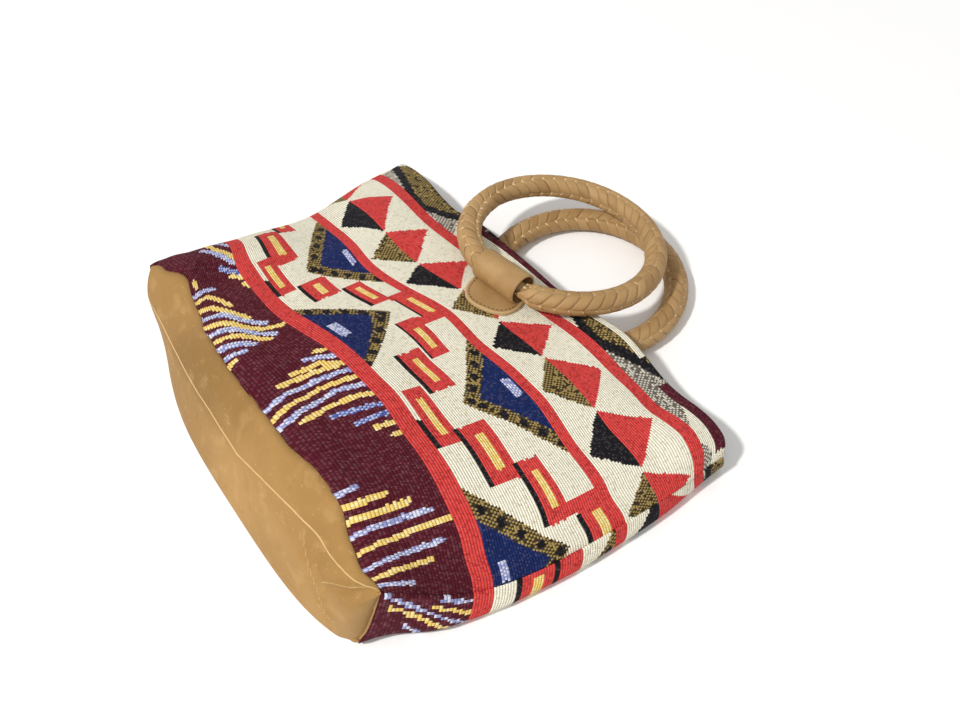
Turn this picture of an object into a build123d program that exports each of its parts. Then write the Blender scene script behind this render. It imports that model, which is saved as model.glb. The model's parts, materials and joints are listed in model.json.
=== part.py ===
from build123d import *
import math
import os

# Tote bag lying on its back: X across the mouth, Y from base to mouth, Z up, millimetres

# Cloth panels
mouth_width = 436.0            # between the side seams at the mouth
base_width = 350.0             # between the tips of the leather base
panel_length = 270.0           # along a side seam, from base tip to mouth
front_seam_height = 85.0       # seam of front panel and base above the floor
front_tab_height = 47.0        # front panel above the floor at the tab
mouth_front_height = 39.0      # front panel above the floor at the mouth
mouth_back_height = 24.5       # back panel above the floor at the mouth
mouth_corner_height = 14.0     # side seams above the floor at the mouth
fabric = 2.0                   # thickness of the tapestry cloth
seam_turn = 3.0                # width of the face where two pieces are sewn together
fold_rise = 8.0                # height of a full fold in the front panel
seam_bow = 4.0                 # back panel's bow at its base seam and mouth
corner_tuck = 22.0             # back seam's pull towards the base near the tips
base_skew = 8.0                # how far the base lies turned against the mouth
left_pull = 14.0               # left end of the base pulled towards the mouth
mouth_swing = 9.0              # the mouth's edge swings back on the left and out on the right
left_seam_dip = 9.0            # left side seam sinks to the floor at half its length
right_seam_lift = 10.0         # right side seam lies higher, so the back panel stands up below it

# Leather base
leather = 2.0
left_tip_height = 66.0         # base tips above the floor
right_tip_height = 60.0
ridge_height = 50.0            # fold line along the base
ridge_reach = 23.0             # fold line, out from the tips
floor_reach = 41.0             # floor edge, out from the tips
left_floor_taper = 28.0        # how much of that the boat shape loses towards its tips
right_floor_taper = 24.0
leather_puff = 2.0             # outward bow between the seams and fold lines

# Tabs that hold the rings
strap = 2.0
tab_width = 44.0
tube_diameter = 27.0           # outside of the strap's loop
tail_length = 33.0             # from the loop's axis to the end of the stitched tail
tab_seat = 0.2                 # thread's thickness between tab and cloth
front_tab_to_mouth = 45.0      # along Y, from the tab's loop to the mouth
back_tab_to_mouth = 39.4
back_tab_offset = 9.0          # the back tab sits a little to the right
front_tab_turn = 9.0           # degrees, the front tab is sewn slightly turned

# Braided rings
ring_radius = 80.5             # to the middle of the braid
braid_diameter = 19.8
strip_pitch = 10.3             # along the ring, from strip to strip
strip_thickness = 1.0
core_diameter = 14.0
knot_length = 4.0              # gathered end of the braid beside the tab
tab_gap = 1.0                  # between the tab and the gathered end
ring_rest = 0.1                # back ring above the floor

# Cloth shape as shares of the panel's half width and length
flare_power = 3.0
seam_drop_shares = (0.24, 0.14)
seam_drop_power = 1.6
seam_dip_shares = (0.60, 0.24)
base_dome_power = 6.0
mouth_dome_powers = (3.5, 10.0)
lean_shares = (0.46, -0.12)
base_edge_power = 50.0
edge_powers = (36.0, 60.0)
edge_settle_share = 0.3
bell_share = 0.62
bell_power = 6.0
ramp_shares = (0.47, 0.87)
ramp_top_share = 1.075
patch_share = 0.16

# Folds of the front panel: place across and along, reach across and along, rise
fold_shares = (
    (0.80, 0.00, 0.17, 0.22, -1.30),
    (-0.62, 0.00, 0.20, 0.20, -0.80),
    (-0.84, 0.08, 0.16, 0.22, 0.50),
    (-0.78, 0.52, 0.34, 0.24, -1.20),
    (-0.58, 0.78, 0.30, 0.22, 0.50),
    (0.05, 0.22, 0.50, 0.20, 0.40),
    (-0.45, 0.34, 0.30, 0.24, -0.40),
    (0.50, 0.42, 0.30, 0.28, -0.45),
    (0.40, 1.00, 0.22, 0.22, 0.60),
    (0.64, 1.00, 0.20, 0.24, -0.80),
    (-0.42, 1.00, 0.24, 0.22, -0.25),
)

# Grid lines of the cloth, from the middle out and from base to mouth
half_line_shares = (0.16, 0.29, 0.41, 0.52, 0.62, 0.71, 0.79, 0.86, 0.915, 0.955, 0.98, 1.0)
length_line_shares = (0, 0.04, 0.09, 0.15, 0.22, 0.30, 0.385, 0.47,
                      0.555, 0.64, 0.70, 0.755, 0.81, 0.87, 0.935, 1.0)
across_lines = [-u for u in reversed(half_line_shares)] + list(half_line_shares)

# How quickly each line of the base runs into its tips, and the inner corner of its folds
ridge_power = 30.0
floor_taper_powers = (3.0, 5.0)
floor_end_powers = (40.0, 60.0)
left_pull_power = 12.0
back_seam_powers = (6.0, 50.0)
ridge_inset_shares = (1.0, -0.4)
floor_inset_shares = (1.2, 1.0)

# Braid: strips in four columns, each loop of the ring has this many corners
column_count = 4
corners_per_column = 3
loop_corners = column_count * corners_per_column


def mix(a, b, t):
    return a + (b - a) * t


def half_width(v, inset):
    flare = 1 - (1 - v) ** flare_power
    return mix(base_width, mouth_width, flare) / 2 - inset * seam_turn


def across(left, right, u):
    return mix(left, right, (1 + u) / 2)


def tip_height(u):
    return across(left_tip_height, right_tip_height, u)


def seam_height(u, v):
    fall = math.exp(-((v / across(*seam_drop_shares, u)) ** seam_drop_power))
    place, reach = seam_dip_shares
    dip = max(0, 1 - ((v - place) / reach) ** 2) ** 2
    mouth_end = mouth_corner_height + right_seam_lift * max(0, u) ** 2
    return mix(mouth_end, tip_height(u), fall) - across(left_seam_dip, 0, u) * dip


def skew(u, v):
    pull = left_pull * max(0, -u) ** 2 * (1 - abs(u) ** left_pull_power)
    return (pull - base_skew / 2 * u) * (1 - v) ** 3


def fold(u, v):
    total = 0
    for place_u, place_v, reach_u, reach_v, rise in fold_shares:
        away = ((u - place_u) / reach_u) ** 2 + ((v - place_v) / reach_v) ** 2
        total += rise * max(0, 1 - away) ** 2
    return fold_rise * total


def crest_height(v):
    # The front panel falls evenly to the tab, then faster to the mouth
    end = ramp_shares[1]
    if v < end:
        return mix(front_seam_height, front_tab_height, v / end)
    return mix(front_tab_height, mouth_front_height, (v - end) / (1 - end))


def front_point(u, v, inset=0):
    # The front panel domes up from the side seams and leans towards the mouth where it is high
    rim = seam_height(u, v)
    crest = crest_height(v) - inset * fabric
    dome = 1 - abs(u) ** mix(base_dome_power, across(*mouth_dome_powers, u), v ** 2)
    rise = (crest - rim + fold(u, v)) * dome
    swing = mouth_swing * (v * math.sin(math.pi * u)) ** 3
    y = panel_length * v + mix(*lean_shares, v) * rise + swing + skew(u, v)
    return Vector(u * half_width(v, inset), y, rim + rise)


def back_lift(v):
    # The back panel lies flat, then climbs over the back tab
    top = tube_diameter * ramp_top_share
    start, end = ramp_shares
    if v < end:
        return top * max(0, v - start) / (end - start)
    return mix(top, mouth_back_height, (v - end) / (1 - end))


def back_point(u, v, inset=0):
    edge_power = mix(base_edge_power, across(*edge_powers, u), min(1, v / edge_settle_share))
    edge = abs(u) ** edge_power
    lift = back_lift(v) * math.exp(-((abs(u) / bell_share) ** bell_power))
    z = mix(lift + inset * fabric, seam_height(u, v), edge)
    tuck = seam_bow - (seam_bow + corner_tuck) * abs(u) ** back_seam_powers[0]
    tuck += corner_tuck * abs(u) ** back_seam_powers[1]
    bow = mix(seam_bow * (1 - u ** 4), tuck, (1 - v) ** 2)
    return Vector(u * half_width(v, inset), panel_length * v + bow + skew(u, v), z)


def base_section(u, inset=0):
    # One line of the boat-shaped base: front seam, ridge, floor edge, back seam
    front = front_point(u, 0, inset)
    back = back_point(u, 0, inset)
    x = front.X
    turn = skew(u, 0)
    inner = inset * leather
    tip = abs(u) ** ridge_power
    ridge_y = (inner * ridge_inset_shares[0] - ridge_reach) * (1 - tip)
    ridge_z = mix(ridge_height + inner * ridge_inset_shares[1], tip_height(u), tip)
    ridge = Vector(x, ridge_y + turn, ridge_z)
    end, rise = [abs(u) ** power for power in floor_end_powers]
    taper = across(left_floor_taper, right_floor_taper, u)
    floor_y = taper * abs(u) ** across(*floor_taper_powers, u) - floor_reach
    floor_y += (floor_reach - taper) * end
    floor_y += inner * floor_inset_shares[0] * (1 - end)
    floor_z = mix(inner * floor_inset_shares[1], tip_height(u), rise)
    edge = Vector(x, floor_y + turn, floor_z)
    puff = Vector(0, -leather_puff, leather_puff) * (1 - tip)
    upper = (front + ridge) / 2 + puff
    lower = (ridge + edge) / 2 + Vector(0, puff.Y, 0)
    return [front, upper, ridge, lower, edge, (edge + back) / 2, back]


def triangle_solid(triangles):
    faces = []
    for a, b, c in triangles:
        if min((a - b).length, (b - c).length, (c - a).length) > tab_seat / 100:
            faces.append(Face(Wire.make_polygon([a, b, c])))
    return Solid(Shell(faces))


def strip_between(row, next_row):
    # Two triangles for each four-sided cell between neighbouring rows of points
    for k in range(len(row) - 1):
        yield row[k], row[k + 1], next_row[k]
        yield row[k + 1], next_row[k + 1], next_row[k]


def sheet_solid(outer, inner):
    triangles = []
    for grid in (outer, inner):
        for row, next_row in zip(grid, grid[1:]):
            triangles += strip_between(row, next_row)
    for end in (0, -1):
        triangles += strip_between(outer[end], inner[end])
        triangles += strip_between([row[end] for row in outer], [row[end] for row in inner])
    return triangle_solid(triangles)


def panel_solid(point):
    outer, inner = [[[point(u, v, inset) for v in length_line_shares] for u in across_lines]
                    for inset in (0, 1)]
    return sheet_solid(outer, inner)


def base_solid():
    outer, inner = [[base_section(u, inset) for u in across_lines] for inset in (0, 1)]
    return sheet_solid(outer, inner)


def patch_plane(point, to_mouth, offset, outward, turn):
    # The flat patch of a panel under its tab; the plane's Y points to the mouth
    start, end = length_line_shares[9], length_line_shares[13]
    near = (point(-patch_share, start) + point(patch_share, start)) / 2
    far = (point(-patch_share, end) + point(patch_share, end)) / 2
    slope = (far - near).normalized()
    along = (panel_length - to_mouth - near.Y) / slope.Y
    seat = near + slope * along + Vector(offset, 0, 0)
    side = Vector(outward, 0, 0)
    normal = side.cross(slope).normalized()
    turned = side.rotate(Axis((0, 0, 0), normal), turn)
    return Plane(origin=seat + normal * tab_seat, x_dir=turned, z_dir=normal)


def tab_solid():
    # Loop of strap with a half-round tail of two plies, lying on the XY plane
    half = tab_width / 2
    radius = tube_diameter / 2
    loop = Pos(0, 0, radius) * Rot(0, 90, 0) * Cylinder(radius, tab_width)
    bore = Pos(0, 0, radius) * Rot(0, 90, 0) * Cylinder(radius - strap, 2 * tab_width)
    shoulder = half - tail_length
    sides = Polyline((-half, shoulder), (-half, 0), (half, 0), (half, shoulder))
    end = ThreePointArc((half, shoulder), (0, -tail_length), (-half, shoulder))
    tail = extrude(make_face(sides + end), 2 * strap)
    return loop + tail - bore


def ring_loop(angle_at, radius):
    # One loop of corners round the braid; the angle may differ from corner to corner
    corners = []
    for k in range(loop_corners):
        side = 2 * math.pi * k / loop_corners
        angle = angle_at(k)
        out = Vector(math.sin(angle), -math.cos(angle), 0)
        corners.append(out * (ring_radius + radius * math.cos(side)) + Vector(0, 0, radius * math.sin(side)))
    return corners


def core_loop(x, tab_axis_y):
    radius = core_diameter / 2
    sides = [2 * math.pi * k / loop_corners for k in range(loop_corners)]
    return [Vector(x, tab_axis_y - radius * math.cos(s), radius * math.sin(s)) for s in sides]


def zigzag(k):
    # Rises over one column and falls over the next
    step = k % (2 * corners_per_column)
    return min(step, 2 * corners_per_column - step) / corners_per_column


def ring_solid():
    # Chevron collars, each lifting off to its strip's edge, closed by the core through the tab
    high = braid_diameter / 2
    low = high - strip_thickness
    core_x = tab_width / 2 + tab_gap
    knot = knot_length / ring_radius
    first = braid_start + knot
    last = 2 * math.pi - first
    collars = round((last - first) * ring_radius / strip_pitch) - 1
    pitch = (last - first) / (collars + 1)
    neck = (core_diameter / 2 + low) / 2
    loops = [core_loop(core_x, -tab_axis_distance)]
    loops.append(ring_loop(lambda k: braid_start, neck))
    loops.append(ring_loop(lambda k: first - knot / 3, low))
    for collar in range(collars):
        loops.append(ring_loop(lambda k: first + pitch * (collar + zigzag(k)), low))
        loops.append(ring_loop(lambda k: first + pitch * (collar + 1 + zigzag(k)), high))
    loops.append(ring_loop(lambda k: last + knot / 3, low))
    loops.append(ring_loop(lambda k: 2 * math.pi - braid_start, neck))
    loops.append(core_loop(-core_x, -tab_axis_distance))
    triangles = []
    for loop, next_loop in zip(loops, loops[1:] + loops[:1]):
        triangles += strip_between(loop + loop[:1], next_loop + next_loop[:1])
    return triangle_solid(triangles)


# The gathered ends start just outside the tab, and the core runs straight between them
braid_start = math.asin((tab_width / 2 + tab_gap + knot_length / 2) / ring_radius)
tab_axis_distance = ring_radius * math.cos(braid_start + knot_length / ring_radius)

front_plane = patch_plane(front_point, front_tab_to_mouth, 0, 1, front_tab_turn)
back_plane = patch_plane(back_point, back_tab_to_mouth, back_tab_offset, -1, 0)
front_axis = front_plane.origin + front_plane.z_dir * tube_diameter / 2
back_axis = back_plane.origin + back_plane.z_dir * tube_diameter / 2

# The front ring lies parallel to the front panel, the back ring comes down to the floor
front_centre = front_axis + front_plane.y_dir * tab_axis_distance
front_ring_plane = Plane(origin=front_centre, x_dir=front_plane.x_dir, z_dir=front_plane.z_dir)
drop = back_axis.Z - braid_diameter / 2 - ring_rest
drop_angle = math.asin(drop / (ring_radius + tab_axis_distance))
back_away = Vector(0, math.cos(drop_angle), -math.sin(drop_angle))
back_centre = back_axis + back_away * tab_axis_distance
back_ring_plane = Plane(origin=back_centre, x_dir=(1, 0, 0), z_dir=Vector(1, 0, 0).cross(back_away))

ring = ring_solid()
tab = tab_solid()
pieces = {
    "front_panel": panel_solid(front_point),
    "back_panel": panel_solid(back_point),
    "leather_base": base_solid(),
    "front_tab": front_plane * tab,
    "back_tab": back_plane * tab,
    "front_ring": front_ring_plane * ring,
    "back_ring": back_ring_plane * ring,
}

# Origin under the middle of the whole bag
boxes = [piece.bounding_box() for piece in pieces.values()]
low_corner = [min(getattr(box.min, axis) for box in boxes) for axis in "XYZ"]
high_corner = [max(getattr(box.max, axis) for box in boxes) for axis in "XYZ"]
middle_x, middle_y = [(low + high) / 2 for low, high in zip(low_corner[:2], high_corner[:2])]
home = Pos(-middle_x, -middle_y, -low_corner[2])

os.makedirs("parts", exist_ok=True)
for name, piece in pieces.items():
    export_step(home * piece, f"parts/{name}.step")

print("origin moved by", home.position)
print("front hinge", home.position + front_axis, front_plane.x_dir)
print("back hinge", home.position + back_axis, back_plane.x_dir)
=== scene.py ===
import json
import math
import bmesh
import bpy
import numpy as np
from mathutils import Matrix, Vector, noise


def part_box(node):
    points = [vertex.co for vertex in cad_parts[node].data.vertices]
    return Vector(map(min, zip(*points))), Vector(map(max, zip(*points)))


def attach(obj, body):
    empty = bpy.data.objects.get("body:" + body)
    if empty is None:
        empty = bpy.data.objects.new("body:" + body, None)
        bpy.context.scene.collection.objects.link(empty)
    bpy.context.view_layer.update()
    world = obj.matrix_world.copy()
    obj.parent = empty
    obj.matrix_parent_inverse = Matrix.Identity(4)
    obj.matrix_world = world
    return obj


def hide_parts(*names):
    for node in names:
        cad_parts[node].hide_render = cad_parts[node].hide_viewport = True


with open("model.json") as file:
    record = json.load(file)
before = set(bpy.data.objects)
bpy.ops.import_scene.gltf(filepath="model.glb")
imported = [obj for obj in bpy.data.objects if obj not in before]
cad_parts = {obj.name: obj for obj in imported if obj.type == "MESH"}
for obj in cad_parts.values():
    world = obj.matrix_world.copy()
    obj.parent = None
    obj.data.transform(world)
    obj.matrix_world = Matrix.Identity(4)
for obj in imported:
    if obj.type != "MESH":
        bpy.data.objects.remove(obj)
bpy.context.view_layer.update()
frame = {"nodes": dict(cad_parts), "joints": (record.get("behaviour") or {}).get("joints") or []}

rng = np.random.default_rng(7)


def mix(a, b, t):
    return a + (b - a) * t


def across(pair, u):  # from a left value to a right value
    return mix(pair[0], pair[1], (1 + u) / 2)


def ease(t):
    return t * t * (3 - 2 * t)


def ramp(x, low, high):  # eased from 0 to 1
    return ease(np.clip((x - low) / (high - low), 0, 1))


def bell(x, middle, reach):
    return np.exp(-((x - middle) / reach) ** 2)


def unit(t):
    return min(1, max(0, t))


def dye(red, green, blue):  # screen colour to the shader's linear one
    parts = [c / 255 for c in (red, green, blue)]
    return [c / 12.92 if c < 0.04045 else ((c + 0.055) / 1.055) ** 2.4 for c in parts] + [1]


# Shader sums

class Wire:
    def __init__(self, finish, socket):
        self.finish = finish
        self.socket = socket

    def math(self, operation, other=0.0, flip=False):
        pair = (other, self) if flip else (self, other)
        return self.finish.add("Math", {"operation": operation}, dict(enumerate(pair)))

    def __add__(self, other):
        return self.math("ADD", other)

    def __radd__(self, other):
        return self.math("ADD", other, True)

    def __sub__(self, other):
        return self.math("SUBTRACT", other)

    def __rsub__(self, other):
        return self.math("SUBTRACT", other, True)

    def __mul__(self, other):
        return self.math("MULTIPLY", other)

    def __rmul__(self, other):
        return self.math("MULTIPLY", other, True)

    def __pow__(self, other):
        return self.math("POWER", other)

    def above(self, edge, soft=0.0):
        if not soft:
            return self.math("GREATER_THAN", edge)
        values = {"Value": self, "From Min": edge - soft, "From Max": edge + soft}
        return self.finish.add("MapRange", {"interpolation_type": "SMOOTHSTEP"}, values)

    def below(self, edge, soft=0.0):
        return 1 - self.above(edge, soft)


class Finish:
    def __init__(self, name, constants, owner=None, shader="Principled BSDF"):
        self.material = owner or bpy.data.materials.new(name)
        self.material.use_nodes = True
        self.tree = self.material.node_tree
        self.shader = self.tree.nodes[shader]
        for socket, value in constants.items():
            self.shader.inputs[socket].default_value = value

    def add(self, kind, settings, values, output=0):
        node = self.tree.nodes.new("ShaderNode" + kind)
        for key, value in settings.items():
            setattr(node, key, value)
        for key, value in values.items():
            self.link(value, node.inputs[key])
        return Wire(self, node.outputs[output])

    def link(self, value, socket):
        if isinstance(value, Wire):
            self.tree.links.new(value.socket, socket)
        else:
            socket.default_value = value

    def feed(self, socket, value):
        self.link(value, self.shader.inputs[socket])

    def colour(self, factor, first, second, blend="MIX"):
        settings = {"data_type": "RGBA", "blend_type": blend}
        return self.add("Mix", settings, {0: factor, 6: first, 7: second}, 2)

    def place(self):
        return self.add("TexCoord", {}, {}, "Object")

    def grain(self, where, scale, detail):
        values = {"Vector": where, "Scale": scale, "Detail": detail}
        return self.add("TexNoise", {}, values, "Fac")

    def part(self, vector, axis):
        return self.add("SeparateXYZ", {}, {0: vector}, axis)

    def uv(self, axis):
        return self.part(self.add("UVMap", {"uv_map": "UVMap"}, {}), axis)

    def attribute(self, name, output="Fac"):
        return self.add("Attribute", {"attribute_name": name}, {}, output)

    def relief(self, height, distance, strength):
        values = {"Height": height, "Distance": distance, "Strength": strength}
        return self.add("Bump", {}, values)

    def whiten(self, share, kind, output):  # white to the eye, and no light from it
        seen = 0.0
        for ray in ("Is Camera Ray", "Is Glossy Ray", "Is Transmission Ray"):
            seen = seen + self.add("LightPath", {}, {}, ray)
        white = self.add(kind, {}, {"Color": (1, 1, 1, 1), "Strength": 1.0})
        plain = Wire(self, self.shader.outputs[0])
        factor = seen.math("MINIMUM", 1.0) * share
        both = self.add("MixShader", {}, {0: factor, 1: plain, 2: white})
        self.link(both, self.tree.nodes[output].inputs["Surface"])


# Cloth: the lying shape, in metres, close to that of the solids

cloth = {
    "mouthWidth": 0.436, "baseWidth": 0.350, "flarePower": 3, "length": 0.270, "thick": 0.002,
    "seamHeight": 0.085, "tabHeight": 0.047, "mouthHeight": 0.039, "backHeight": 0.0245,
    "tipHeights": (0.073, 0.0655), "cornerHeight": 0.014, "rightLift": 0.010,
    "fallReaches": (0.24, 0.14), "fallPower": 1.6, "leftDip": 0.009, "dipPlace": 0.60, "dipReach": 0.24,
    "leftPull": 0.014, "pullPower": 12, "baseSkew": 0.008, "leans": (0.46, -0.12), "foldRise": 0.008,
    "baseDome": 6, "leftDome": 3.5, "mouthDomes": (3.5, 10), "cornerDome": 20,
    "mouthSwing": 0.009, "turnFrom": 0.78, "turnOut": 0.0045, "turnOutAt": (0.88, 0.10),
    "cornerIn": 0.006, "cornerFrom": 0.95, "lapFade": 0.07, "lapSink": 0.25, "rampShares": (0.47, 0.87),
    "columns": 300, "rows": 140, "shake": 0.0012, "turnChance": 0.14, "unevenness": 0.04,
}
backCloth = {
    "rampTop": 0.029025, "bellReach": 0.62, "bellPower": 6, "seamBow": 0.004, "cornerTuck": 0.022,
    "tuckPower": 6, "basePower": 50, "edgePowers": (36, 60), "edgeSettles": 0.3,
    "bulge": 0.0105, "bulgeFrom": (0.80, 0.97), "bulgePower": 90, "bulgeFades": (0.20, 0.5),
    "bulgeFadeFrom": 0.75, "bulgeGrows": 0.16, "lap": 0.0068, "lapAt": (0.945, 0.03), "lapFade": 0.06,
    "patternShift": 0.245,
}
clothFolds = (  # place across and along, reach across and along, rise
    (0.8, 0, 0.17, 0.22, -1.3),
    (-0.62, 0, 0.2, 0.2, -0.8),
    (-0.84, 0.08, 0.16, 0.22, 0.5),
    (-0.78, 0.52, 0.34, 0.24, -1.2),
    (-0.58, 0.78, 0.3, 0.22, 0.5),
    (0.05, 0.22, 0.5, 0.2, 0.4),
    (-0.45, 0.34, 0.3, 0.24, -0.4),
    (0.5, 0.42, 0.3, 0.28, -0.45),
    (0.4, 1, 0.22, 0.22, 0.6),
    (0.64, 1, 0.2, 0.24, -0.8),
    (-0.42, 1, 0.24, 0.22, -0.25),
)
# Line between the base's tips
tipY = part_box("back_panel")[1].y - cloth["length"] - backCloth["seamBow"]

# How far the cloth laps over the base seam, along the seam
lapColumns = (-1, -0.88, -0.74, -0.60, -0.42, -0.20, 0, 0.28, 0.50, 0.66, 0.78, 0.90, 1)
lapReach = (0, 0.0070, -0.0020, -0.0005, 0.0066, 0.0071, 0.0055, 0.0047,
            -0.0007, -0.0010, 0.0012, 0.0055, 0)


def eased(x, places, values):
    places = np.asarray(places, float)
    k = np.clip(np.searchsorted(places, x, side="right") - 1, 0, len(places) - 2)
    t = ease(np.clip((x - places[k]) / (places[k + 1] - places[k]), 0, 1))
    return values[k] + (values[k + 1] - values[k]) * t


def halfWidth(v):
    return mix(cloth["baseWidth"], cloth["mouthWidth"], 1 - (1 - v) ** cloth["flarePower"]) / 2


def tipHeight(u):
    return across(cloth["tipHeights"], u)


def rimHeight(u, v):
    fall = np.exp(-((v / across(cloth["fallReaches"], u)) ** cloth["fallPower"]))
    dip = np.maximum(0, 1 - ((v - cloth["dipPlace"]) / cloth["dipReach"]) ** 2) ** 2
    mouthEnd = cloth["cornerHeight"] + cloth["rightLift"] * np.maximum(0, u) ** 2
    return mix(mouthEnd, tipHeight(u), fall) - across((cloth["leftDip"], 0), u) * dip


def skew(u, v):
    pull = cloth["leftPull"] * np.maximum(0, -u) ** 2 * (1 - np.abs(u) ** cloth["pullPower"])
    return (pull - cloth["baseSkew"] / 2 * u) * (1 - v) ** 3


def turnDown(v):  # the mouth's right end stays high, then turns down
    return ramp(v, cloth["turnFrom"], 1)


def cornerIn(u, v):
    share = np.clip((u - cloth["cornerFrom"]) / (1 - cloth["cornerFrom"]), 0, 1)
    return cloth["cornerIn"] * share ** 2 * turnDown(v)


def frontPoint(u, v):
    rim = rimHeight(u, v)
    end = cloth["rampShares"][1]
    fold = sum(rise * np.maximum(0, 1 - ((u - pu) / ru) ** 2 - ((v - pv) / rv) ** 2) ** 2
               for pu, pv, ru, rv, rise in clothFolds)
    crest = np.where(v < end, mix(cloth["seamHeight"], cloth["tabHeight"], v / end),
                     mix(cloth["tabHeight"], cloth["mouthHeight"], (v - end) / (1 - end)))
    basePower = cloth["baseDome"] + cloth["leftDome"] * np.maximum(0, -u) * (1 - v) ** 2
    power = mix(basePower, across(cloth["mouthDomes"], u), v ** 2)
    power = power + cloth["cornerDome"] * turnDown(v) * np.maximum(0, u)
    rise = (crest - rim + cloth["foldRise"] * fold) * (1 - np.abs(u) ** power)
    swing = cloth["mouthSwing"] * (v * np.sin(np.pi * u)) ** 3
    swing = swing + turnDown(v) * cloth["turnOut"] * bell(u, *cloth["turnOutAt"]) - cornerIn(u, v)
    lap = eased(u, lapColumns, np.array(lapReach)) * np.maximum(0, 1 - v / cloth["lapFade"]) ** 2
    y = tipY + cloth["length"] * v + mix(*cloth["leans"], v) * rise + swing + skew(u, v) - lap
    return np.stack([u * halfWidth(v), y, rim + rise - cloth["lapSink"] * lap], -1)


def wallBulge(u, v):  # the right wall bulges out below its seam
    reach = ramp(u, *backCloth["bulgeFrom"]) * (1 - np.abs(u) ** backCloth["bulgePower"])
    slow, late = backCloth["bulgeFades"]
    fade = 1 - slow * v - late * ramp(v, backCloth["bulgeFadeFrom"], 1)
    return backCloth["bulge"] * reach * fade * ramp(v, 0, backCloth["bulgeGrows"])


def wallLap(u, v):  # the wall's cloth covers the leather's fold
    fade = np.maximum(0, 1 - v / backCloth["lapFade"]) ** 2
    return backCloth["lap"] * bell(u, *backCloth["lapAt"]) * fade


def backPoint(u, v):
    start, end = cloth["rampShares"]
    top, out = backCloth["rampTop"], np.abs(u)
    lift = np.where(v < end, top * np.maximum(0, v - start) / (end - start),
                    mix(top, cloth["backHeight"], (v - end) / (1 - end)))
    settled = np.minimum(1, v / backCloth["edgeSettles"])
    edge = out ** mix(backCloth["basePower"], across(backCloth["edgePowers"], u), settled)
    flat = np.exp(-((out / backCloth["bellReach"]) ** backCloth["bellPower"]))
    z = mix(lift * flat, rimHeight(u, v), edge)
    bow, tuck = backCloth["seamBow"], backCloth["cornerTuck"]
    seam = bow - (bow + tuck) * out ** backCloth["tuckPower"] + tuck * out ** backCloth["basePower"]
    y = tipY + cloth["length"] * v + mix(bow * (1 - u ** 4), seam, (1 - v) ** 2) + skew(u, v)
    return np.stack([u * halfWidth(v) + wallBulge(u, v), y - cornerIn(u, v) - wallLap(u, v), z], -1)


# The weave's own lines: columns lie evenly along the cloth, rows drift as the photo's bands do

weaveColumns = (-1, -0.9, -0.8, -0.7, -0.5, 0, 0.5, 0.7, 0.8, 0.9, 1)
weavePlaces = (-1, -0.926, -0.835, -0.735, -0.529, 0.0065, 0.543, 0.756, 0.854, 0.936, 1)
backColumns = (-1, -0.98, -0.96, -0.94, -0.92, -0.905, -0.88, 0,
               0.88, 0.905, 0.92, 0.94, 0.96, 0.98, 1)
backPlaces = (-1, -0.9938, -0.9859, -0.9749, -0.9563, -0.925, -0.89, 0,
              0.89, 0.945, 0.9735, 0.9848, 0.9915, 0.9963, 1)
driftColumns = (-1, -0.8, -0.6, -0.3, 0, 0.2, 0.45, 0.65, 0.85, 1)
driftRows = (0, 0.212, 0.592, 0.88, 1)
driftShares = (
    (0, 0, 0, 0, 0, 0, 0, 0, 0, 0),
    (0.05, 0.014, -0.004, -0.002, 0.016, 0.008, -0.011, -0.013, -0.001, 0.014),
    (0.02, 0, 0.004, -0.024, 0.02, -0.008, -0.012, -0.024, 0.002, 0.026),
    (0.005, 0.004, 0.007, 0.004, -0.003, -0.01, -0.028, -0.012, 0.017, 0.012),
    (0, 0, 0, 0, 0, 0, 0, 0, 0, 0),
)
weaveTurn, weaveTurnPower = 0.05, 0.6  # the rows as a whole lie turned against the base


def weaveLines(c, q, columns, places):
    u = np.interp(c, columns, places)
    drift = np.stack([eased(c, driftColumns, np.array(shares)) for shares in driftShares])
    k = np.clip(np.searchsorted(driftRows, q, side="right") - 1, 0, len(driftRows) - 2)
    rows = np.asarray(driftRows)
    t = ease((q - rows[k]) / (rows[k + 1] - rows[k]))
    here = np.arange(len(c))
    v = q + mix(drift[k, here], drift[k + 1, here], t)
    v = v + weaveTurn * np.maximum(0, np.sin(np.pi * q)) ** weaveTurnPower * np.sin(np.pi * u)
    return u, np.clip(v, 0, 1)


# Yarns: main dye, fleck dye, share of flecks

yarns = {
    "cream": ((248, 242, 219), (230, 221, 192), 0.08),
    "red": ((222, 71, 67), (194, 57, 56), 0.20),
    "maroon": ((84, 24, 36), (102, 42, 54), 0.22),
    "navy": ((23, 38, 89), (33, 50, 102), 0.20),
    "olive": ((164, 139, 82), (58, 48, 30), 0.46),
    "black": ((24, 23, 27), (40, 38, 42), 0.12),
    "yellow": ((244, 208, 116), (250, 228, 160), 0.25),
    "lavender": ((150, 156, 204), (216, 218, 238), 0.44),
    "blue": ((84, 98, 168), (176, 184, 220), 0.44),
    "grey": ((214, 208, 190), (110, 102, 94), 0.40),
}
yarnNames = list(yarns)
turnsFrom = 0.4  # from this share up the two yarns take turns

maroonTop = 0.184
redBands = ((0.184, 0.236), (0.570, 0.604), (0.862, 0.905))
mouthBand = redBands[2][1]

diamonds = (  # left, right, upper tip, lower tip, yarn of the lower half
    (-1.18, -0.835, -1, -1, "olive"),
    (-0.805, -0.475, -0.675, -0.645, "black"),
    (-0.465, -0.268, -0.405, -0.37, "olive"),
    (-0.26, -0.075, -0.185, -0.195, "black"),
    (-0.065, 0.115, 0.035, -0.01, "olive"),
    (0.125, 0.33, 0.228, 0.215, "black"),
    (0.34, 0.595, 0.475, 0.455, "olive"),
    (0.605, 0.848, 0.72, 0.73, "black"),
    (0.862, 1.08, 0.98, 0.98, "olive"),
)
diamondRows = (0.617, 0.722, 0.850)

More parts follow.
